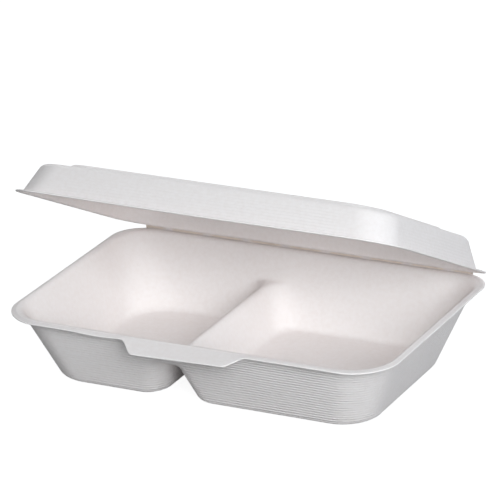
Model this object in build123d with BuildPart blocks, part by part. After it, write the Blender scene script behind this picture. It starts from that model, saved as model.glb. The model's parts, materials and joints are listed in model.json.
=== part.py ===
from build123d import *
import math
import os

# Divided food container of moulded sugarcane pulp: a tray, and the lid that is hinged to its rear edge.
# Millimetres, +Z up. The tray stands on the plane Z = 0, centred on its rim rectangle, its tab towards -Y.
# The lid is drawn part open, turned about the fold line along the rear edge.

# Sheet and rim
sheet = 0.9  # thickness of the pressed pulp
length = 240.0  # over the rim, left to right
width = 156.0  # over the rim, front to rear
flange_width = 5.1  # from the wall's inner top edge to the rim's outer edge
flange_droop = 1.5  # how far the tray's rim falls away outwards
flange_front_radius = 26.0  # plan corners of both rims, at the front
flange_rear_radius = 18.0  # plan corners of both rims, beside the fold

# Tray
tray_depth = 43.3  # ground to the corner of wall and rim, before it is rounded
wall_lean = 16.5  # the floor is drawn in by this much on every side
wall_front_radius = 24.0  # plan corners at the rim
wall_rear_radius = 20.0
floor_front_radius = 20.5  # plan corners at the floor
floor_rear_radius = 24.5
floor_radius = 4.0  # between floor and walls, inside
rim_radius = 3.0  # where the inside of the walls turns over into the rim

# Divider between the compartments
divider_place = -17.4  # its ridge, left of the middle
divider_height = 25.6  # ground to ridge
flank_draft = 18.5  # its flanks, from upright, in degrees
ridge_radius = 3.0  # round top of the ridge
ridge_steps = 3  # flats in each half of the round top
ridge_last_angle = 80.0  # where the round top runs into the ledges at its ends, in degrees
divider_floor_radius = 14.0  # plan corners beside the divider, at the floor
divider_ridge_radius = 13.0  # the same corners at the ridge

# Front tab
tab_root_width = 75.0  # between its sides, at the rim
tab_tip_width = 62.0  # the same at its tip
tab_length = 10.0
tab_tilt = 30.0  # below level, in degrees
tab_overlap = 1.0  # how far it reaches into the rim
tab_crease = 0.25  # the crease where it leaves the rim
tab_hollow_radius = 5.0  # where its sides run into the rim
tab_tip_radius = 4.0  # its two free corners

# Fold line and lid
hinge_length = 212.0
fold_gap = 0.3  # room under the fold, and under the lid's rim when shut
open_angle = 27.1  # lid above shut, in degrees
lid_depth = 18.4  # under the lid's rim to its top
lid_lean = 6.3  # the top is drawn in by this much on every side
lid_foot_radius = 18.0  # plan corners at the lid's rim
lid_top_corner_radius = 19.5  # plan corners at the lid's top
lid_shoulder_radius = 4.2  # between walls and top, outside
lid_rim_radius = 1.6  # where the inside of the lid's walls turns out into its rim
panel_margin = 20.5  # from the lid's edge to the foot of its raised panel
panel_step = 2.2  # height of the raised panel
panel_bevel = 3.2  # sideways run of the panel's sloping edge
panel_corner_radius = 17.0  # plan corners on top of the panel

# Worked out from the sizes above
overrun = sheet
wall_slope = wall_lean / (tray_depth - sheet)
wall_side = sheet * math.hypot(1, wall_slope)
lid_slope = lid_lean / lid_depth
lid_side = sheet * math.hypot(1, lid_slope)
flank_slope = math.tan(math.radians(flank_draft))
flank_side = sheet * math.hypot(1, flank_slope)
ridge_foot = divider_height - ridge_radius * (1 - math.sin(math.radians(flank_draft)))
fold_y = width / 2 - sheet / 2
fold_z = tray_depth + fold_gap + sheet / 2


def outline(plane, left, right, front, rear, radii):
    """A rectangle with round corners on a plane: front left, front right, rear right, rear left."""
    with BuildSketch(plane) as plan:
        with BuildLine():
            points = [(left, front), (right, front), (right, rear), (left, rear)]
            FilletPolyline(*points, radius=radii, close=True)
        make_face()
    return plan.sketch


def inset(height, skin):
    """How far the tray's wall stands inside the rim's outer edge at a height, grown outwards by a skin."""
    return flange_width + wall_slope * (tray_depth - height) - skin


def corners(height):
    """Plan radii of the tray's outer corners at a height, at the front and at the rear."""
    share = (tray_depth - height) / tray_depth
    front = wall_front_radius + (floor_front_radius - wall_front_radius) * share
    rear = wall_rear_radius + (floor_rear_radius - wall_rear_radius) * share
    return front, rear


def divider_corner(height):
    """Plan radius of a compartment's corners beside the divider at a height."""
    share = (divider_height - height) / divider_height
    return divider_ridge_radius + (divider_floor_radius - divider_ridge_radius) * share


def half_divider(height, skin):
    """Half the divider's thickness on its straight flank, less a skin on each side."""
    foot = ridge_radius * math.cos(math.radians(flank_draft))
    return foot + flank_slope * (ridge_foot - height) - skin


def round_top(radius):
    """Heights and half widths up the divider's round top, for a radius about the middle of its ridge."""
    turn = (ridge_last_angle - flank_draft) / ridge_steps
    angles = [math.radians(flank_draft + turn * step) for step in range(ridge_steps + 1)]
    middle = divider_height - ridge_radius
    return [(middle + radius * math.sin(angle), radius * math.cos(angle)) for angle in angles]


def compartment(side, height, half, skin):
    """Plan of one compartment at a height. The side is -1 for the left one and 1 for the right one."""
    edge = length / 2 - inset(height, skin)
    end = width / 2 - inset(height, skin)
    front, rear = corners(height)
    near = divider_corner(height)
    plane = Plane.XY.offset(height)
    if side < 0:
        return outline(plane, -edge, divider_place - half, -end, end, [front, near, near, rear])
    return outline(plane, divider_place + half, edge, -end, end, [near, front, rear, near])


def basin(height, skin, drop):
    """Plan of the undivided upper part of the tray at a height, drawn lower by a drop."""
    edge = length / 2 - inset(height, skin)
    end = width / 2 - inset(height, skin)
    front, rear = corners(height)
    return outline(Plane.XY.offset(height - drop), -edge, edge, -end, end, [front, front, rear, rear])


def rim_plan(plane, front, rear):
    """Plan of a rim on a plane, from its front edge to its rear edge."""
    radii = [flange_front_radius, flange_front_radius, flange_rear_radius, flange_rear_radius]
    return outline(plane, -length / 2, length / 2, front, rear, radii)


# Hollow of the tray: two compartments with a round-topped ridge between them, under one open basin
ridge = round_top(ridge_radius)
basin_floor = ridge[-1][0]

with BuildPart() as tray_hollow:
    for side in (-1, 1):
        floor = compartment(side, sheet, half_divider(sheet, 0), 0)
        flank = [compartment(side, level, half, 0) for level, half in ridge]
        loft([floor] + flank, ruled=True)
    loft([basin(basin_floor, 0, 0), basin(tray_depth + overrun, 0, 0)], ruled=True)
    fillet(tray_hollow.faces().group_by(Axis.Z)[0].edges(), radius=floor_radius)

# Tray: the same form one sheet thicker, with a drooping rim, the front tab and the upstand below the fold
tunnel = round_top(ridge_radius - sheet)
tunnel_top = tunnel[-1][0]
wall_top = tray_depth - sheet / 2
rim_edge = tray_depth - flange_droop
tab_root = tab_root_width / 2
tab_tip = tab_tip_width / 2
tab_foot = tab_root + tab_hollow_radius
tab_radii = [tab_hollow_radius, tab_tip_radius, tab_tip_radius, tab_hollow_radius]
tab_lean = math.radians(tab_tilt)
tab_plane = Plane(
    origin=(0, -width / 2, rim_edge - tab_crease),
    x_dir=(1, 0, 0),
    z_dir=(0, -math.sin(tab_lean), math.cos(tab_lean)),
)

lower_rim = rim_plan(Plane.XY.offset(rim_edge - sheet), -width / 2, width / 2)
upper_rim = rim_plan(Plane.XY.offset(rim_edge), -width / 2, width / 2)

with BuildPart() as rim_underside:
    loft([lower_rim, basin(tray_depth, 0, sheet)], ruled=True)

with BuildPart() as tray:
    loft([lower_rim, upper_rim, basin(tray_depth, 0, 0)], ruled=True)
    add(rim_underside.part, mode=Mode.SUBTRACT)
    for side in (-1, 1):
        foot = compartment(side, 0, half_divider(0, flank_side), wall_side)
        flank = [compartment(side, level, half, wall_side) for level, half in tunnel]
        loft([foot] + flank, ruled=True)
    loft([basin(tunnel_top, wall_side, 0), basin(wall_top, wall_side, 0)], ruled=True)
    under_rim = tray.edges(Select.NEW).filter_by_position(Axis.Z, rim_edge - sheet, tray_depth)
    fillet(under_rim, radius=rim_radius - sheet)
    fillet(tray.faces().group_by(Axis.Z)[0].edges(), radius=floor_radius + sheet)
    add(tray_hollow.part, mode=Mode.SUBTRACT)
    fillet(tray.edges().group_by(Axis.Z)[-1], radius=rim_radius)
    with BuildSketch(tab_plane):
        with BuildLine():
            left = [(-tab_foot, 0), (-tab_root, 0), (-tab_tip, -tab_length)]
            right = [(tab_tip, -tab_length), (tab_root, 0), (tab_foot, 0)]
            FilletPolyline(*left, *right, radius=tab_radii)
            Polyline((tab_foot, 0), (tab_foot, tab_overlap), (-tab_foot, tab_overlap), (-tab_foot, 0))
        make_face()
    extrude(amount=-sheet)
    with BuildSketch(Plane.XY.offset(rim_edge - sheet)):
        with Locations((0, width / 2 - sheet / 2)):
            Rectangle(hinge_length, sheet)
    extrude(amount=flange_droop + sheet)
tray.part.label = "tray"

# Lid, drawn on its own plane: origin on the fold line, front towards -Y, up is away from the tray
lid_lift = math.radians(open_angle)
lid_plane = Plane(
    origin=(0, fold_y, fold_z),
    x_dir=(1, 0, 0),
    z_dir=(0, math.sin(lid_lift), math.cos(lid_lift)),
)
lid_up = Axis((0, fold_y, fold_z), (0, math.sin(lid_lift), math.cos(lid_lift)))
lid_front = -width / 2 - fold_y
lid_rear = width / 2 - fold_y
lid_top = lid_depth - sheet / 2


def lid_section(height, margin, radius):
    """Plan of the lid at a height above the fold, a margin inside its rim."""
    edge = length / 2 - margin
    return outline(lid_plane.offset(height), -edge, edge, lid_front + margin, lid_rear - margin, [radius] * 4)


def dome(skin, top):
    """The lid's walls and top, grown outwards by a skin, from under its rim to a height above the fold."""
    foot = -sheet / 2
    lower = lid_section(foot, flange_width - skin, lid_foot_radius)
    upper = lid_section(top, flange_width + lid_slope * (top - foot) - skin, lid_top_corner_radius)
    loft([lower, upper], ruled=True)


def panel(foot):
    """The raised panel, with its sloping edge, from a height above the fold."""
    lower = lid_section(foot, panel_margin, panel_corner_radius + panel_bevel)
    upper = lid_section(foot + panel_step, panel_margin + panel_bevel, panel_corner_radius)
    loft([lower, upper], ruled=True)


with BuildPart() as lid_hollow:
    dome(0, lid_top - sheet)
    fillet(lid_hollow.faces().group_by(lid_up)[-1].edges(), radius=lid_shoulder_radius - sheet)
    panel(lid_top - sheet)

with BuildPart() as lid:
    dome(lid_side, lid_top)
    fillet(lid.faces().group_by(lid_up)[-1].edges(), radius=lid_shoulder_radius)
    panel(lid_top)
    extrude(rim_plan(lid_plane.offset(-sheet / 2), lid_front, lid_rear - sheet / 2), amount=sheet)
    fillet(lid.edges(Select.NEW), radius=lid_rim_radius - sheet)
    add(lid_hollow.part, mode=Mode.SUBTRACT)
    fillet(lid.faces().group_by(lid_up)[0][0].inner_wires().edges(), radius=lid_rim_radius)
    with BuildSketch(Plane(origin=(-hinge_length / 2, fold_y, fold_z), x_dir=(0, 1, 0), z_dir=(1, 0, 0))):
        Circle(sheet / 2)
    extrude(amount=hinge_length)
lid.part.label = "lid"

os.makedirs("parts", exist_ok=True)
export_step(tray.part, "parts/tray.step")
export_step(lid.part, "parts/lid.step")
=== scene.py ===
import json
import math
import bpy
import numpy as np
from mathutils import Matrix, Vector


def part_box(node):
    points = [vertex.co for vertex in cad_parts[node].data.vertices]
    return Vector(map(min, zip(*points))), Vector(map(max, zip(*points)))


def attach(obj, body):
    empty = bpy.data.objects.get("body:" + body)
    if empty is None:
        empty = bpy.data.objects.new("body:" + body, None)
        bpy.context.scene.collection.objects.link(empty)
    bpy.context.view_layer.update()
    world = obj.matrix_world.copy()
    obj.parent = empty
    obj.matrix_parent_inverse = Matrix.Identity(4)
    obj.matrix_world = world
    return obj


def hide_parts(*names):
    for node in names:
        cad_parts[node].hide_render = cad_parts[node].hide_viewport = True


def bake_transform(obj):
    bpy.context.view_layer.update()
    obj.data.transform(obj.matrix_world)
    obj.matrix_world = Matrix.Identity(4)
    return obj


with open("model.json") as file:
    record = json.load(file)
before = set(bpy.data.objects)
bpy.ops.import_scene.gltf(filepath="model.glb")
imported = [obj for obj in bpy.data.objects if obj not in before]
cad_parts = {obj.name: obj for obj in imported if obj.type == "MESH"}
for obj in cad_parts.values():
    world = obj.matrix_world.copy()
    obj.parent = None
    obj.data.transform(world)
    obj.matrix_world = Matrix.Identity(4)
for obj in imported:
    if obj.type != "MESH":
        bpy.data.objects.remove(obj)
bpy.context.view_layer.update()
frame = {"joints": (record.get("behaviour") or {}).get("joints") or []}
print("frame loaded")

mm = 0.001
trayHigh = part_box("tray")[1]
foldPoint = np.array(frame["joints"][0]["pos_m"])
shutAngle = math.radians(-frame["joints"][0]["range_deg"][0])  # the lid stands this far above shut

# One sheet for both halves, with rims of one outline
rim = {
    "sheet": 0.9 * mm,
    "halfLength": trayHigh.x,
    "halfWidth": trayHigh.y,
    "flange": 5.1 * mm,
    "frontRadius": 26.0 * mm,
    "rearRadius": 18.0 * mm,
    "edgeSteps": 4,  # round the sheet's free edge
}

# The forming screen's lines show most along the long sides, and more towards the right end
screen = {"fadeEnd": 108.0 * mm, "fadeLength": 30.0 * mm, "least": 0.4, "rightwards": 0.8}

# Where the grid's lines crowd along the front and rear: the tab's sides and the divider
lines = {
    "stops": np.array([-42.0, -27.0, -8.0, 27.0, 42.0]) * mm,
    "cells": [16, 20, 24, 17, 20, 16],
    "sideCells": 30,
    "patchInset": 56.0 * mm,  # inside this inset the rings give way to a plain grid
}


# Points on a circle about a centre, from one point towards another by the short way round
def arcBetween(start, end, centre, steps):
    first = math.atan2(*(start - centre)[::-1])
    turn = math.atan2(*(end - centre)[::-1]) - first
    turn = (turn + math.pi) % (2 * math.pi) - math.pi
    angles = first + turn * np.arange(steps) / steps
    radius = np.linalg.norm(start - centre)
    return centre + radius * np.stack([np.cos(angles), np.sin(angles)], axis=1)


# A polyline, such as insets and heights, with its inner corners rounded: each corner becomes an arc
# that touches both sides, and every stretch is cut into its own number of equal steps.
def roundedProfile(points, radii, straightSteps, arcSteps):
    points = np.array(points, float)
    before = points[:-2] - points[1:-1]
    after = points[2:] - points[1:-1]
    before /= np.linalg.norm(before, axis=1, keepdims=True)
    after /= np.linalg.norm(after, axis=1, keepdims=True)
    half = np.arccos(np.clip(np.sum(before * after, axis=1), -1, 1)) / 2
    reach = np.array(radii) / np.tan(half)
    starts = points[1:-1] + before * reach[:, None]
    ends = points[1:-1] + after * reach[:, None]
    middle = before + after
    middle /= np.linalg.norm(middle, axis=1, keepdims=True)
    centres = points[1:-1] + middle * (np.array(radii) / np.sin(half))[:, None]
    froms = np.vstack([points[:1], ends])
    tos = np.vstack([starts, points[-1:]])
    pieces = []
    for index, steps in enumerate(straightSteps):
        share = np.arange(steps)[:, None] / steps
        pieces.append(froms[index] + (tos[index] - froms[index]) * share)
        if index < len(radii):
            pieces.append(arcBetween(starts[index], ends[index], centres[index], arcSteps[index]))
    pieces.append(points[-1:])
    return np.vstack(pieces)


# Place along X for every grid line: the first and last lines stay at the two ends of the straight part, and
# the others are spread evenly between the stops.
def spreadLines(index, ringCount, stops, cells, reach):
    zone = np.repeat(np.arange(len(cells)), cells)
    share = np.concatenate([np.arange(count) / count for count in cells])
    zone = np.append(zone, len(cells) - 1)
    share = np.append(share, 1.0)
    place = np.clip(index - ringCount, 0, len(share) - 1)
    padded = np.concatenate([[0.0], stops, [0.0]])
    low = np.where(zone[place] == 0, -reach, padded[zone[place]])
    high = np.where(zone[place] == len(cells) - 1, reach, padded[zone[place] + 1])
    return low + (high - low) * share[place]


# Plan of a rectangular grid laid over a rounded rectangle. Ring k of the grid, counted from its edge, is the
# rectangle drawn in by the k-th inset with the k-th corner radius. A corner's arc takes the grid lines that
# end on the diagonal, so its angle is 45 degrees times one plus the difference of the two shares of the
# way to it.
def planGrid(insets, frontRadii, rearRadii):
    ringCount = len(insets) - 1
    columns = 2 * ringCount + sum(lines["cells"])
    rows = 2 * ringCount + lines["sideCells"]
    i, j = np.meshgrid(np.arange(columns + 1), np.arange(rows + 1), indexing="ij")
    ring = np.minimum(np.minimum(i, columns - i), np.minimum(j, rows - j))
    ring = np.minimum(ring, ringCount)
    left = np.maximum(ringCount - ring, 1)
    acrossX = np.clip((ringCount - i) / left, 0, 1) - np.clip((i - columns + ringCount) / left, 0, 1)
    acrossY = np.clip((ringCount - j) / left, 0, 1) - np.clip((j - rows + ringCount) / left, 0, 1)
    radius = np.where(j * 2 < rows, np.array(frontRadii)[ring], np.array(rearRadii)[ring])
    radius = np.where(ring == ringCount, 0.0, radius)
    turn = math.pi / 4 * (np.abs(acrossX) - np.abs(acrossY) + 1)
    inset = np.array(insets)[ring]
    reachX = rim["halfLength"] - inset - radius
    x = spreadLines(i, ringCount, lines["stops"], lines["cells"], reachX)
    frontReach = rim["halfWidth"] - inset - np.where(ring == ringCount, 0.0, np.array(frontRadii)[ring])
    rearReach = rim["halfWidth"] - inset - np.where(ring == ringCount, 0.0, np.array(rearRadii)[ring])
    shareY = np.clip((j - ringCount) / lines["sideCells"], 0, 1)
    y = -frontReach + (frontReach + rearReach) * shareY
    x = x - np.sign(acrossX) * radius * np.sin(turn) * (acrossX != 0)
    y = y - np.sign(acrossY) * radius * np.cos(turn) * (acrossY != 0)
    return x, y, ring


# Normals of a grid of points: the mean of the cell normals round each point, where a cell's normal is the
# cross product of its diagonals
def gridNormals(points):
    cells = np.cross(points[1:, 1:] - points[:-1, :-1], points[:-1, 1:] - points[1:, :-1])
    cells = np.pad(cells / np.linalg.norm(cells, axis=2, keepdims=True), ((1, 1), (1, 1), (0, 0)))
    normals = cells[1:, 1:] + cells[:-1, 1:] + cells[1:, :-1] + cells[:-1, :-1]
    return normals / np.linalg.norm(normals, axis=2, keepdims=True)


# Indices of the grid's edge in order round it
def edgeLoop(numbers):
    return np.concatenate([numbers[:-1, 0], numbers[-1, :-1], numbers[:0:-1, -1], numbers[0, :0:-1]])


# A closed sheet from its upper skin: the lower skin is the upper one moved back along its normals by the
# thickness, and the edge between them is a half circle in the plane of the normal and the way outwards.
# Points also get 0 on the upper skin, 1 on the lower one and a half on the edge.
def closedSheet(points, thickness, edgeSteps):
    numbers = np.arange(points.shape[0] * points.shape[1]).reshape(points.shape[:2])
    normals = gridNormals(points).reshape(-1, 3)
    upper = points.reshape(-1, 3)
    lower = upper - normals * thickness
    loop = edgeLoop(numbers)
    inner = edgeLoop(np.pad(numbers[1:-1, 1:-1], 1, mode="edge"))
    outwards = upper[loop] - upper[inner]
    outwards -= normals[loop] * np.sum(outwards * normals[loop], axis=1, keepdims=True)
    outwards /= np.linalg.norm(outwards, axis=1, keepdims=True)
    angles = math.pi * np.arange(1, edgeSteps)[:, None, None] / edgeSteps
    swing = np.cos(angles) * normals[loop] + np.sin(angles) * outwards
    edges = (upper[loop] + lower[loop]) / 2 + thickness / 2 * swing
    count = len(upper)
    corners = [numbers[:-1, :-1], numbers[1:, :-1], numbers[1:, 1:], numbers[:-1, 1:]]
    quads = np.stack(corners, axis=-1).reshape(-1, 4)
    edgeNumbers = 2 * count + np.arange((edgeSteps - 1) * len(loop)).reshape(-1, len(loop))
    rings = np.vstack([loop, edgeNumbers, loop + count])
    ahead = np.roll(rings, -1, axis=1)
    band = np.stack([rings[:-1], rings[1:], ahead[1:], ahead[:-1]], axis=-1).reshape(-1, 4)
    vertices = np.vstack([upper, lower, edges.reshape(-1, 3)])
    below = np.concatenate([np.zeros(count), np.ones(count), np.full(edgeNumbers.size, 0.5)])
    return vertices, np.vstack([quads, quads[:, ::-1] + count, band]).tolist(), below


# Values at the points for the material: the way up the wall, the rough outer side, which is also painted
# darker as shade, how strongly the screen's lines show (fading evenly along X towards the ends and growing
# evenly rightwards) and where warm light through the pressed-thin crease is painted
def sheetValues(lift, outer, x, lineStrength):
    fade = np.clip((screen["fadeEnd"] - np.abs(x)) / screen["fadeLength"], screen["least"], 1)
    fade = fade * (1 + screen["rightwards"] * x / rim["halfLength"])
    screenSide = outer * fade * lineStrength
    return {"lift": lift, "outer": outer, "screenSide": screenSide, "thin": np.zeros_like(x)}


# A mesh object from arrays, smooth shaded, with named values at its points
def meshObject(name, vertices, faces, values, material):
    mesh = bpy.data.meshes.new(name)
    mesh.from_pydata(vertices.tolist(), [], faces)
    for key, numbers in values.items():
        mesh.attributes.new(key, "FLOAT", "POINT").data.foreach_set("value", numbers.astype(np.float32))
    mesh.polygons.foreach_set("use_smooth", np.ones(len(mesh.polygons), bool))
    mesh.materials.append(material)
    mesh.update()
    piece = bpy.data.objects.new(name, mesh)
    bpy.context.scene.collection.objects.link(piece)
    return piece


# Pressed pulp: pale, matt, softly mottled. A fine fibre grain covers it, and the side that lay on the
# forming screen is rough, painted a little darker as shade, and shows faint level lines, broken and
# speckled. Warm light through the thin crease is painted in too.
def pulpMaterial(name, settings):
    material = bpy.data.materials.new(name)
    material.use_nodes = True
    nodes = material.node_tree.nodes
    link = material.node_tree.links.new
    shader = nodes["Principled BSDF"]
    shader.inputs["Roughness"].default_value = settings["roughness"]
    shader.inputs["Specular IOR Level"].default_value = settings["specular"]
    place = nodes.new("ShaderNodeTexCoord").outputs["Object"]

    def noise(vector, scale, detail):
        node = nodes.new("ShaderNodeTexNoise")
        node.inputs["Scale"].default_value = scale
        node.inputs["Detail"].default_value = detail
        link(vector, node.inputs["Vector"])
        return node.outputs["Fac"]

    def mathNode(operation, first, second):
        node = nodes.new("ShaderNodeMath")
        node.operation = operation
        for socket, value in zip(node.inputs, (first, second)):
            if isinstance(value, float):
                socket.default_value = value
            else:
                link(value, socket)
        return node.outputs[0]

    def attribute(key):
        node = nodes.new("ShaderNodeAttribute")
        node.attribute_name = key
        return node.outputs["Fac"]

    mottle = nodes.new("ShaderNodeValToRGB")
    mottle.color_ramp.elements[0].position = settings["mottleRange"][0]
    mottle.color_ramp.elements[1].position = settings["mottleRange"][1]
    mottle.color_ramp.elements[0].color = settings["darkColour"]
    mottle.color_ramp.elements[1].color = settings["lightColour"]
    link(noise(place, settings["mottleScale"], settings["mottleDetail"]), mottle.inputs["Fac"])
    colour = mottle.outputs["Color"]
    # Painted shade: the outer side gets a darker tone multiplied in. Painted light: the crease's dashes get
    # the warm tone of light shining through them mixed in
    for key, kind in (("outer", "MULTIPLY"), ("thin", "MIX")):
        mix = nodes.new("ShaderNodeMixRGB")
        mix.blend_type = kind
        mix.inputs["Color2"].default_value = settings[key + "Colour"]
        link(attribute(key), mix.inputs["Fac"])
        link(colour, mix.inputs["Color1"])
        colour = mix.outputs["Color"]
    link(colour, shader.inputs["Base Color"])

    wander = noise(place, settings["wanderScale"], settings["wanderDetail"])
    wander = mathNode("MULTIPLY", wander, settings["wander"])
    level = mathNode("ADD", mathNode("MULTIPLY", attribute("lift"), settings["linesPerMetre"]), wander)
    screenLines = mathNode("SINE", mathNode("MULTIPLY", level, 2 * math.pi), 0.0)
    apart = nodes.new("ShaderNodeSeparateXYZ")
    joined = nodes.new("ShaderNodeCombineXYZ")
    link(place, apart.inputs["Vector"])
    link(apart.outputs["X"], joined.inputs["X"])
    link(apart.outputs["Y"], joined.inputs["Y"])
    link(mathNode("MULTIPLY", attribute("lift"), settings["dashShape"]), joined.inputs["Z"])
    patches = noise(joined.outputs["Vector"], settings["dashScale"], settings["dashDetail"])
    breaks = mathNode("MULTIPLY", patches, settings["breaks"])
    dashes = mathNode("MULTIPLY", mathNode("SUBTRACT", patches, settings["patchMiddle"]), settings["dashes"])
    imprint = mathNode("ADD", mathNode("MULTIPLY", screenLines, breaks), dashes)
    imprint = mathNode("MULTIPLY", imprint, attribute("screenSide"))
    imprint = mathNode("MULTIPLY", imprint, settings["imprint"])
    grain = noise(place, settings["grainScale"], settings["grainDetail"])
    grain = mathNode("MULTIPLY", grain, settings["grain"])
    bump = nodes.new("ShaderNodeBump")
    bump.inputs["Strength"].default_value = 1.0
    bump.inputs["Distance"].default_value = 1.0  # heights are in metres
    link(mathNode("ADD", imprint, grain), bump.inputs["Height"])
    link(bump.outputs["Normal"], shader.inputs["Normal"])
    return material


pulp = pulpMaterial("pulp", {
    "lightColour": (0.940, 0.882, 0.866, 1.0),
    "darkColour": (0.915, 0.850, 0.828, 1.0),
    "outerColour": (0.905, 0.898, 0.90, 1.0),  # painted shade: the outer side is a little darker
    # painted light: the warm tone of light shining through the pressed-thin crease
    "thinColour": (0.90, 0.79, 0.70, 1.0),
    "mottleRange": (0.30, 0.65),
    "mottleScale": 420.0,
    "mottleDetail": 3.0,
    "roughness": 0.8,
    "specular": 0.2,
    "linesPerMetre": 570.0,
    "wanderScale": 45.0,
    "wanderDetail": 2.0,
    "wander": 0.6,  # how far the lines stray, as a part of their spacing
    "dashScale": 600.0,  # patches that break the lines up, flatter than they are long
    "dashDetail": 2.0,
    "dashShape": 1.6,
    "patchMiddle": 0.5,
    "breaks": 2.0,
    "dashes": 2.2,
    "imprint": 0.05 * mm,
    "grainScale": 1100.0,
    "grainDetail": 3.0,
    "grain": 0.07 * mm,
})


# The tray
tray = {
    "depth": trayHigh.z,
    "droop": 1.15 * mm,
    "droopLean": 0.4 * mm,  # more at the left end, less at the right
    "dip": 0.9 * mm,  # the front rim hangs lower beside the tab
    "dipPlace": -54.0 * mm,
    "dipSpread": 14.0 * mm,
    "rimRadius": 3.0 * mm,
    "lean": 16.5 * mm,
    "frontCorners": [24.0 * mm, 20.5 * mm],  # plan radii at the mouth and at the floor
    "rearCorners": [20.0 * mm, 24.5 * mm],
    "floorRadius": 4.0 * mm,
    "dividerPlace": -17.4 * mm,
    "dividerHeight": 25.6 * mm,
    "flankDraft": math.radians(18.5),
    "ridgeRadius": 3.0 * mm,
    "dividerCorner": 13.5 * mm,
    "ledgeBlend": 4.0 * mm,
    "tabRootHalf": 37.5 * mm,
    "tabTipHalf": 29.5 * mm,
    "tabLength": 9.1 * mm,
    "tabHollow": 5.0 * mm,
    "tabRound": 4.0 * mm,
    "tabTilt": math.radians(26.0),
    "tabTwist": math.radians(6.5),  # its left end hangs lower
    "tabStraightSteps": [4, 8, 4],
    "tabArcSteps": [16, 16],
    "foldLevel": 0.5,  # along the fold the rim stays more level
    "foldHalf": 106.0 * mm,
    "foldFade": 12.0 * mm,
    "wallPaintedShade": 0.5,  # how far the outside, and the rim's upper side, are toned down to the darker outer colour as painted shade
    "rimPaintedShade": 0.8,
    "lineStrength": 2.6,
    "straightSteps": [9, 12, 9],
    "arcSteps": [5, 7],
}


# The larger of two values with a rounded inner corner: where they differ by less than the radius, it is
# the radius plus half their sum, less half the root of twice the radius squared less the gap squared
def roundMax(first, second, radius):
    gap = np.clip(first - second, -radius, radius)
    joined = radius + (first + second - np.sqrt(2 * radius ** 2 - gap ** 2)) / 2
    return np.where(np.abs(first - second) < radius, joined, np.maximum(first, second))


# Height of the tray's inside at an inset from the rim and a place along X. Walls and divider flanks rise
# with their own slopes and meet in round corners. The flank ends in a round ridge, which runs into the wall
# by the square of the nearness of the two. The floor runs up in an arc.
def trayHeight(inset, x):
    slope = tray["lean"] / (tray["depth"] - rim["sheet"])
    flankSlope = math.tan(tray["flankDraft"])
    draft = math.atan(slope)
    radius = tray["ridgeRadius"]
    ridgeHalf = radius * math.cos(tray["flankDraft"])
    ridgeFoot = tray["dividerHeight"] - radius * (1 - math.sin(tray["flankDraft"]))
    wall = tray["depth"] - (inset - rim["flange"]) / slope
    flank = ridgeFoot - (np.abs(x - tray["dividerPlace"]) - ridgeHalf) / flankSlope
    cup = roundMax(wall * slope, flank * slope, tray["dividerCorner"]) / slope
    across = np.clip(ridgeHalf - flankSlope * (cup - ridgeFoot), 0, radius)
    ridge = tray["dividerHeight"] - radius + np.sqrt(radius ** 2 - across ** 2)
    ridge = np.where(cup > ridgeFoot, ridge, cup)
    near = np.clip(1 - np.abs(wall - ridge) / tray["ledgeBlend"], 0, 1)
    onLedge = np.clip((cup - tray["dividerHeight"]) / tray["ledgeBlend"], 0, 1)
    low = np.maximum(wall, ridge) + tray["ledgeBlend"] / 4 * near ** 2 * onLedge
    reach = tray["floorRadius"] * math.tan((math.pi / 2 - draft) / 2)
    run = (rim["sheet"] - low) * slope
    arc = np.sqrt(np.clip(tray["floorRadius"] ** 2 - (run - reach) ** 2, 0, None))
    arc = rim["sheet"] + tray["floorRadius"] - arc
    return np.where(run > reach, rim["sheet"], np.where(run < -reach * math.sin(draft), low, arc))


# Side of the tab by a share of the way along it: a sloping line with a hollow corner at the rim and a round
# one at the tip, as the place along X and the length of tab there
def tabSide(share):
    root = (tray["tabRootHalf"], 0)
    tip = (tray["tabTipHalf"], tray["tabLength"])
    path = roundedProfile(
        [(lines["stops"][-1], 0), root, tip, (lines["stops"][-2], tray["tabLength"])],
        [tray["tabHollow"], tray["tabRound"]],
        tray["tabStraightSteps"],
        tray["tabArcSteps"],
    )
    way = np.concatenate([[0], np.cumsum(np.linalg.norm(np.diff(path, axis=0), axis=1))])
    place = share * way[-1]
    return np.interp(place, way, path[:, 0]), np.interp(place, way, path[:, 1])


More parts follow.
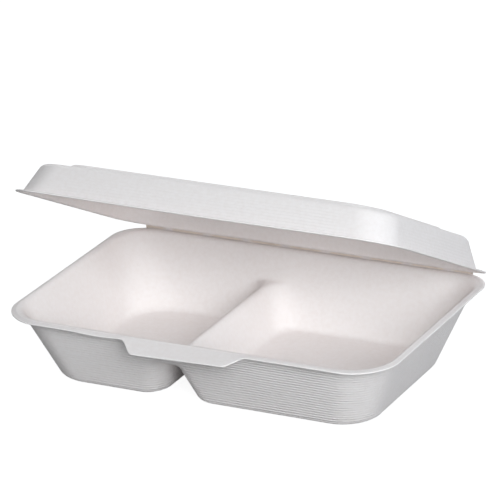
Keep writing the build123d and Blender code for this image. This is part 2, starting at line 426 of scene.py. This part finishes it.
# The tray: the height at each inset laid over the plan's rings. The rim is lowered in step with the way
# outwards, by a straight line along X and a bell curve beside the tab, and along the fold it is raised a
# share of the way back. In front the rim is drawn out to the tab's outline, evenly from the rim's bend, and
# sinks by the tab's length times the sine of its tilt.
def trayShape():
    slopeRun = rim["flange"] + tray["lean"]
    edge = rim["sheet"] / 2
    profile = roundedProfile(
        [
            (edge, tray["depth"] - tray["droop"] * (1 - edge / rim["flange"])),
            (rim["flange"], tray["depth"]),
            (slopeRun, rim["sheet"]),
            (lines["patchInset"], rim["sheet"]),
        ],
        [tray["rimRadius"], tray["floorRadius"]],
        tray["straightSteps"],
        tray["arcSteps"],
    )
    insets, heights = profile.T
    knots = [0, rim["flange"], slopeRun, lines["patchInset"]]
    frontRadii = np.interp(insets, knots, [rim["frontRadius"], *tray["frontCorners"], 0])
    rearRadii = np.interp(insets, knots, [rim["rearRadius"], *tray["rearCorners"], 0])
    x, y, ring = planGrid(insets, frontRadii, rearRadii)
    inset = np.minimum(rim["halfLength"] - np.abs(x), rim["halfWidth"] - np.abs(y))
    inset = np.where(ring == len(insets) - 1, np.maximum(inset, insets[-1]), insets[ring])
    rimRows = tray["straightSteps"][0] + tray["arcSteps"][0]
    z = np.where(ring <= rimRows, heights[ring], trayHeight(inset, x))
    outwards = np.clip(1 - inset / rim["flange"], 0, 1)
    dip = np.exp(-((x - tray["dipPlace"]) / tray["dipSpread"]) ** 2) * (y < 0)
    z += (tray["droopLean"] * x / rim["halfLength"] - tray["dip"] * dip) * outwards
    level = np.clip((tray["foldHalf"] - np.abs(x)) / tray["foldFade"], 0, tray["foldLevel"]) * (y > 0)
    z = np.where(ring < np.argmax(heights), z + (heights.max() - z) * level, z)

    width = lines["stops"][-1]
    share = np.clip((width - np.abs(x)) / (width - lines["stops"][-2]), 0, 1)
    along, out = tabSide(share)  # the tab
    bend = insets[tray["straightSteps"][0]]
    pull = np.clip((bend - inset) / (bend - edge), 0, 1) * ((y < 0) & (np.abs(x) < width))
    tilt = tray["tabTilt"] - tray["tabTwist"] * np.clip(x / tray["tabTipHalf"], -1, 1)
    x = np.where(share < 1, x + pull * (np.sign(x) * along - x), x)
    y = y - out * pull * np.cos(tilt)
    z = z - out * pull * np.sin(tilt)
    vertices, faces, below = closedSheet(np.stack([x, y, z], axis=-1), rim["sheet"], rim["edgeSteps"])
    values = sheetValues(vertices[:, 2], below, vertices[:, 0], tray["lineStrength"])
    values["outer"] = below * tray["wallPaintedShade"]
    # The upper skin comes first, and its rim is toned down too, as painted shade
    values["outer"][:ring.size] = np.where(ring < tray["straightSteps"][0], tray["rimPaintedShade"], 0).ravel()
    return vertices, faces, values


trayPiece = meshObject("trayPulp", *trayShape(), pulp)
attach(trayPiece, "tray")
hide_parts("tray")
print("tray built")


# The lid, in its own plane: heights are above the fold
lid = {
    "depth": 18.4 * mm,
    "lean": 6.3 * mm,
    "frontRadius": 23.5 * mm,  # its front corners are a little fuller than the tray's
    "footRadius": 18.0 * mm,
    "topCornerRadius": 19.5 * mm,
    "footBend": 0.8 * mm,
    "shoulderRadius": 4.2 * mm,
    "panelMargin": 20.5 * mm,
    "panelStep": 2.2 * mm,
    "panelBevel": 3.2 * mm,
    "panelCorner": 17.0 * mm,
    "panelRound": 1.5 * mm,
    "twist": math.radians(-0.18),  # the soft sheet hangs a little lower at its right end
    "sag": 0.4 * mm,  # and in the middle of its front wall
    "sagFade": 12.0 * mm,
    "lineStrength": 0.55,
    "straightSteps": [6, 6, 3, 2, 7],
    "arcSteps": [5, 8, 3, 3],
}


# The lid: its profile from rim to panel laid over the plan's rings, with the front wall's lower part sagging
# by a squared cosine along X, then turned about the fold by an angle that changes evenly along X
def lidShape():
    edge = rim["sheet"] / 2
    slope = lid["lean"] / lid["depth"]
    foot = rim["flange"] - rim["sheet"] * math.hypot(1, slope)
    top = lid["depth"] - edge
    panelEdge = lid["panelMargin"] + lid["panelBevel"]
    profile = roundedProfile(
        [
            (edge, edge),
            (foot + slope * rim["sheet"], edge),
            (foot + lid["lean"], top),
            (lid["panelMargin"], top),
            (panelEdge, top + lid["panelStep"]),
            (lines["patchInset"], top + lid["panelStep"]),
        ],
        [lid["footBend"], lid["shoulderRadius"], lid["panelRound"], lid["panelRound"]],
        lid["straightSteps"],
        lid["arcSteps"],
    )
    insets, heights = profile.T
    knots = [0, foot, foot + lid["lean"], lid["panelMargin"], panelEdge, lines["patchInset"]]
    inside = [
        lid["footRadius"],
        lid["topCornerRadius"],
        lid["panelCorner"] + lid["panelBevel"],
        lid["panelCorner"],
        0,
    ]
    frontRadii = np.interp(insets, knots, [lid["frontRadius"]] + inside)
    rearRadii = np.interp(insets, knots, [rim["rearRadius"]] + inside)
    x, y, ring = planGrid(insets, frontRadii, rearRadii)
    lower = np.clip((foot + lid["lean"] - insets[ring]) / lid["lean"], 0, 1)
    lower = lower * np.clip(1 - (y + rim["halfWidth"] - insets[ring]) / lid["sagFade"], 0, 1)
    middle = np.cos(np.clip(x / rim["halfLength"], -1, 1) * math.pi / 2) ** 2
    z = heights[ring] - lid["sag"] * lower * middle
    flat = np.stack([x, y - rim["halfWidth"] + edge, z], axis=-1)
    vertices, faces, below = closedSheet(flat, rim["sheet"], rim["edgeSteps"])
    lift = vertices[:, 2].copy()
    angle = shutAngle + lid["twist"] * (rim["halfLength"] + vertices[:, 0]) / (2 * rim["halfLength"])
    cosine, sine = np.cos(angle), np.sin(angle)
    away, up = vertices[:, 1].copy(), vertices[:, 2].copy()
    vertices[:, 1] = foldPoint[1] + away * cosine + up * sine
    vertices[:, 2] = foldPoint[2] - away * sine + up * cosine
    return vertices, faces, sheetValues(lift, 1 - below, vertices[:, 0], lid["lineStrength"])


lidPiece = meshObject("lidPulp", *lidShape(), pulp)
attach(lidPiece, "lid")
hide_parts("lid")
print("lid built")


# The fold: a strip of the same sheet from the tray's rear rim up to the lid's rear edge
fold = {
    "halfLength": tray["foldHalf"],
    "radius": 0.44 * mm,
    "height": 2.7 * mm,
    "turnRange": 0.5 * mm,
    "steps": 200,
    "halfTurnSteps": 8,
    "dashPitch": 26.0 * mm,  # the crease is pressed thin in long dashes, where warm light through it is painted
    "dashShare": 0.75,
    "dashSharpness": 2.0,
    "dashMiddle": 0.5,  # half the painted light at a dash's ends
}


# A flat strip with round long edges: a capsule outline carried along X. A cosine along X, steepened and cut
# off at both ends, marks the dashes, where warm light shining through the thin crease is painted.
def foldShape():
    angles = np.linspace(0, math.pi, fold["halfTurnSteps"] + 1)
    angles = np.concatenate([angles, angles + math.pi])
    drop = np.where(np.arange(len(angles)) <= fold["halfTurnSteps"], 0, fold["height"])
    y = foldPoint[1] + fold["radius"] * np.cos(angles)
    z = foldPoint[2] + fold["radius"] * np.sin(angles) - drop
    x = np.linspace(-fold["halfLength"], fold["halfLength"], fold["steps"] + 1)
    outline = np.stack([np.zeros_like(y), y, z], axis=-1)
    vertices = (outline[None] + x[:, None, None] * np.array([1.0, 0, 0])).reshape(-1, 3)
    numbers = np.arange(len(vertices)).reshape(len(x), -1)
    ahead = np.roll(numbers, -1, axis=1)
    quads = np.stack([numbers[:-1], numbers[1:], ahead[1:], ahead[:-1]], axis=-1).reshape(-1, 4)
    faces = quads.tolist() + [numbers[0][::-1].tolist(), numbers[-1].tolist()]
    values = sheetValues(vertices[:, 2], np.zeros(len(vertices)), vertices[:, 0], 0)
    wave = np.cos(2 * math.pi * vertices[:, 0] / fold["dashPitch"])
    steep = fold["dashSharpness"] * (wave + fold["dashShare"])
    values["thin"] = np.clip(fold["dashMiddle"] + steep, 0, 1)
    return vertices, faces, values


foldPiece = meshObject("foldPulp", *foldShape(), pulp)
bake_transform(foldPiece)
print("fold built")

# Studio: a pale floor that throws light back, broad low lights in front, two behind and a faint even
# surround
coolWhite = (0.91, 0.97, 1.0)
studio = {
    "floorSize": 12.0,
    "floorColour": (0.2, 0.2, 0.2, 1.0),  # to the camera, with the glow
    "floorGlow": 0.92,
    "bounceColour": (0.35, 0.35, 0.35, 1.0),  # to the object
    "surround": 0.09,
    "surroundColour": (*coolWhite, 1.0),
    "white": (1.0, 1.0, 1.0, 1.0),
    "lampHeight": 0.05,  # the lamps stand round a point this far above the floor
}
# Each lamp's degrees round from the front and above level, distance, width, height, power and colour
lamps = {
    "key": (47.0, 20.5, 1.2, 0.7, 0.55, 7.1, coolWhite),
    "front": (30.0, 30.0, 1.2, 0.6, 0.6, 5.8, coolWhite),
    "side": (105.0, 21.0, 1.2, 0.6, 0.6, 1.9, (0.80, 0.90, 1.0)),
    "fill": (-25.0, 40.0, 1.2, 0.8, 0.6, 1.7, coolWhite),
    "back": (180.0, 44.0, 1.2, 0.8, 0.6, 6.0, coolWhite),
    "backLeft": (-125.0, 25.0, 1.2, 0.8, 0.6, 3.0, coolWhite),
}


# What is white to the camera, and to glossy and clear surfaces, and plain to all other light
def seenMix(tree, plain, seen, output):
    nodes, link = tree.nodes, tree.links.new
    rays = nodes.new("ShaderNodeLightPath").outputs
    either = rays["Is Camera Ray"]
    for kind in ("Is Glossy Ray", "Is Transmission Ray"):
        most = nodes.new("ShaderNodeMath")
        most.operation = "MAXIMUM"
        link(either, most.inputs[0])
        link(rays[kind], most.inputs[1])
        either = most.outputs[0]
    mix = nodes.new("ShaderNodeMixShader")
    link(either, mix.inputs["Fac"])
    link(plain, mix.inputs[1])
    link(seen, mix.inputs[2])
    link(mix.outputs["Shader"], output)


# The floor is white to the camera, with the object's shadow, and throws its light back on the object
def floorMaterial():
    material = bpy.data.materials.new("floor")
    material.use_nodes = True
    nodes = material.node_tree.nodes
    seen = nodes["Principled BSDF"]
    seen.inputs["Base Color"].default_value = studio["floorColour"]
    seen.inputs["Roughness"].default_value = 1.0
    seen.inputs["Specular IOR Level"].default_value = 0.0
    seen.inputs["Emission Color"].default_value = studio["white"]
    seen.inputs["Emission Strength"].default_value = studio["floorGlow"]
    bounce = nodes.new("ShaderNodeBsdfDiffuse")
    bounce.inputs["Color"].default_value = studio["bounceColour"]
    output = nodes["Material Output"].inputs["Surface"]
    seenMix(material.node_tree, bounce.outputs["BSDF"], seen.outputs["BSDF"], output)
    return material


# A square floor, the lamps on circles round the object, each facing it, and the surround
def buildStudio():
    mesh = bpy.data.meshes.new("floor")
    half = studio["floorSize"] / 2
    corners = [(-half, -half, 0), (half, -half, 0), (half, half, 0), (-half, half, 0)]
    mesh.from_pydata(corners, [], [(0, 1, 2, 3)])
    mesh.materials.append(floorMaterial())
    floor = bpy.data.objects.new("floor", mesh)
    bpy.context.scene.collection.objects.link(floor)

    for name, (azimuth, elevation, distance, width, height, power, colour) in lamps.items():
        light = bpy.data.lights.new(name, "AREA")
        light.shape = "ELLIPSE"
        light.size = width
        light.size_y = height
        light.energy = power
        light.color = colour
        lamp = bpy.data.objects.new(name, light)
        lamp.rotation_euler = (math.radians(90 - elevation), 0, math.radians(azimuth))
        back = lamp.rotation_euler.to_matrix() @ Vector((0, 0, distance))
        lamp.location = back + Vector((0, 0, studio["lampHeight"]))
        bpy.context.scene.collection.objects.link(lamp)

    world = bpy.data.worlds.new("surround")
    bpy.context.scene.world = world
    world.use_nodes = True
    nodes = world.node_tree.nodes
    even = nodes["Background"]
    even.inputs["Color"].default_value = studio["surroundColour"]
    even.inputs["Strength"].default_value = studio["surround"]
    white = nodes.new("ShaderNodeBackground")
    white.inputs["Color"].default_value = studio["white"]
    output = nodes["World Output"].inputs["Surface"]
    seenMix(world.node_tree, even.outputs["Background"], white.outputs["Background"], output)


buildStudio()

# Camera as fitted to the photo: round from the front, above level, leaning, how far off, and how far it
# is moved to its right and up
view = {
    "azimuth": math.radians(27.732),
    "elevation": math.radians(21.514),
    "roll": math.radians(-2.521),
    "distance": 2091.4 * mm,
    "right": 0.44 * mm,
    "up": 66.17 * mm,
    "sensor": 36.0,
    "lens": 263.94,
}


# The camera's back axis comes from the two angles, and its level axis is then rolled about it
def buildCamera():
    flat = math.cos(view["elevation"])
    sine, cosine = math.sin(view["azimuth"]), math.cos(view["azimuth"])
    back = np.array([sine * flat, -cosine * flat, math.sin(view["elevation"])])
    level = np.array([cosine, sine, 0.0])
    upright = np.cross(back, level)
    right = math.cos(view["roll"]) * level + math.sin(view["roll"]) * upright
    up = np.cross(back, right)
    data = bpy.data.cameras.new("camera")
    data.sensor_width = view["sensor"]
    data.lens = view["lens"]
    camera = bpy.data.objects.new("camera", data)
    bpy.context.scene.collection.objects.link(camera)
    matrix = np.eye(4)
    matrix[:3, 0], matrix[:3, 1], matrix[:3, 2] = right, up, back
    matrix[:3, 3] = view["right"] * right + view["up"] * up + view["distance"] * back
    camera.matrix_world = Matrix(matrix.tolist())
    bpy.context.scene.camera = camera


buildCamera()
bpy.context.scene.view_settings.view_transform = "Standard"
print("studio and camera set")

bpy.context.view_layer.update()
